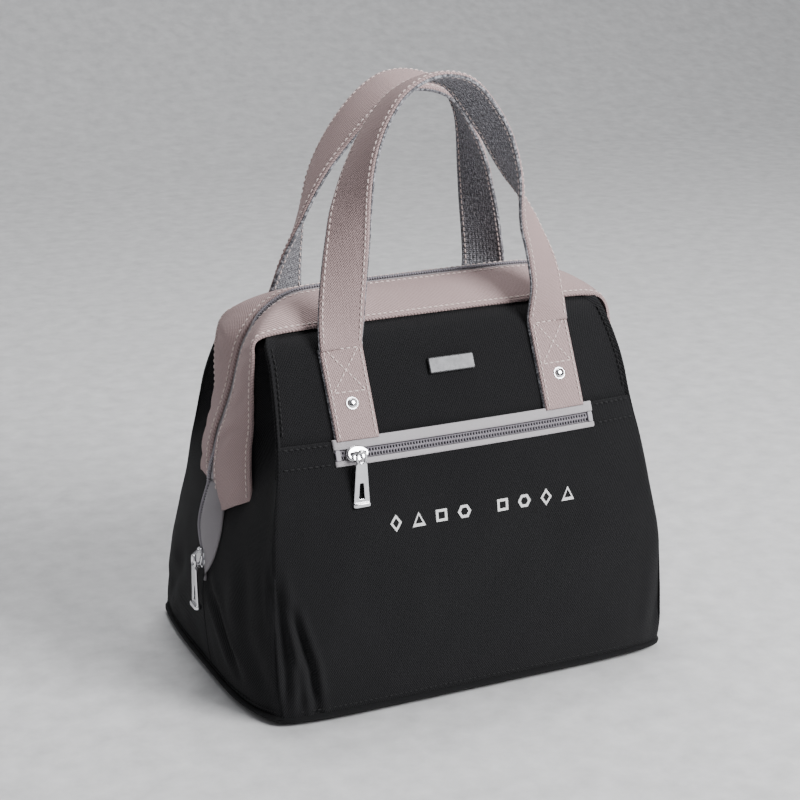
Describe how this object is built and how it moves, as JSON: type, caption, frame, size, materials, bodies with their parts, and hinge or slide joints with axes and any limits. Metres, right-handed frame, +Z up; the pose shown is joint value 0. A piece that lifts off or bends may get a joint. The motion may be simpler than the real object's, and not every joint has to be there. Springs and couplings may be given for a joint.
{
  "type": "insulated lunch tote",
  "caption": "Soft insulated lunch tote with a wide framed zip mouth, two strap handles, a zipped front pocket and foil-lined foam walls.",
  "frame": {"origin": "centre of the flat base, on the surface it rests on", "axes": "+X to the right along the mouth, -Y out of the front pocket side, +Z up"},
  "size_m": [0.2686, 0.1895, 0.3405],
  "materials": {
    "black_twill": "matt twill weave",
    "piping": "matt, corded",
    "taupe_facing": "fine woven, faint sheen",
    "grey_webbing": "flecked webbing",
    "foam": "matt closed-cell foam",
    "foil_lining": "crinkled metallised film",
    "board": "matt",
    "zip_tape": "woven tape",
    "zip_coil": "satin coil",
    "spring_steel": "drawn wire",
    "chrome": "polished nickel"
  },
  "bodies": {
    "lower_shell": {"base_fabric": "black_twill", "base_board": "board", "base_piping": "piping", "front_lower_panel": "black_twill", "back_lower_panel": "black_twill", "left_side_panel": "black_twill", "right_side_panel": "black_twill", "left_front_side_web": "black_twill", "left_back_side_web": "black_twill", "right_front_side_web": "black_twill", "right_back_side_web": "black_twill", "front_lower_foam": "foam", "back_lower_foam": "foam", "left_side_foam": "foam", "right_side_foam": "foam", "base_foam": "foam", "lower_foil_liner": "foil_lining", "left_frame_pivot": "spring_steel", "right_frame_pivot": "spring_steel", "left_zip_tail": "black_twill", "right_zip_tail": "black_twill", "left_lower_coil": "zip_coil", "right_lower_coil": "zip_coil"},
    "front_mouth": {"front_band": "taupe_facing", "front_zip_tape": "zip_tape", "front_upper_panel": "black_twill", "front_gusset_left": "black_twill", "front_gusset_right": "black_twill", "front_upper_foam": "foam", "front_upper_foil": "foil_lining", "front_strap_left": "taupe_facing", "front_strap_right": "taupe_facing", "front_frame_wire": "spring_steel", "front_zip_coil": "zip_coil", "front_strap_rivets": "chrome", "pocket_zip_tape": "zip_tape", "name_plate": "chrome", "pocket_zip_coil": "zip_coil", "pocket_zip_stops": "chrome"},
    "back_mouth": {"back_band": "taupe_facing", "back_zip_tape": "zip_tape", "back_upper_panel": "black_twill", "back_gusset_left": "black_twill", "back_gusset_right": "black_twill", "back_upper_foam": "foam", "back_upper_foil": "foil_lining", "back_strap_left": "taupe_facing", "back_strap_right": "taupe_facing", "back_frame_wire": "spring_steel", "back_zip_coil": "zip_coil", "back_strap_rivets": "chrome"},
    "front_handle": {"front_handle_facing": "taupe_facing", "front_handle_webbing": "grey_webbing"},
    "back_handle": {"back_handle_facing": "taupe_facing", "back_handle_webbing": "grey_webbing"},
    "main_slider": {"main_slider": "chrome"},
    "main_puller": {"main_puller": "chrome"},
    "pocket_slider": {"pocket_slider": "chrome"},
    "pocket_puller": {"pocket_puller": "chrome"}
  },
  "joints": [
    {"name": "front_mouth_open", "type": "hinge", "parent": "lower_shell", "child": "front_mouth", "pos_m": [0, -0.014, 0.104], "axis": [1, 0, 0], "range_deg": [0, 26], "deforming": ["front_lower_panel", "left_front_side_web", "right_front_side_web"]},
    {"name": "back_mouth_open", "type": "hinge", "parent": "lower_shell", "child": "back_mouth", "pos_m": [0, -0.014, 0.104], "axis": [-1, 0, 0], "range_deg": [0, 26], "deforming": ["back_lower_panel", "left_back_side_web", "right_back_side_web"]},
    {"name": "front_handle_swing", "type": "hinge", "parent": "front_mouth", "child": "front_handle", "pos_m": [0, -0.0555, 0.2001], "axis": [1, 0, 0], "range_deg": [-4, 94]},
    {"name": "back_handle_swing", "type": "hinge", "parent": "back_mouth", "child": "back_handle", "pos_m": [0, 0.0275, 0.2001], "axis": [-1, 0, 0], "range_deg": [-3, 102]},
    {"name": "main_zip_slide", "type": "slide", "parent": "lower_shell", "child": "main_slider", "axis": [0.1104, 0, 0.9939], "range_m": [0, 0.018]},
    {"name": "main_puller_swing", "type": "hinge", "parent": "main_slider", "child": "main_puller", "pos_m": [-0.1356, -0.014, 0.07453], "axis": [0, 1, 0], "range_deg": [0, 160]},
    {"name": "pocket_zip_slide", "type": "slide", "parent": "front_mouth", "child": "pocket_slider", "axis": [1, 0, 0], "range_m": [0, 0.132]},
    {"name": "pocket_puller_swing", "type": "hinge", "parent": "pocket_slider", "child": "pocket_puller", "pos_m": [-0.066, -0.08644, 0.1488], "axis": [-1, 0, 0], "range_deg": [0, 150]}
  ]
}
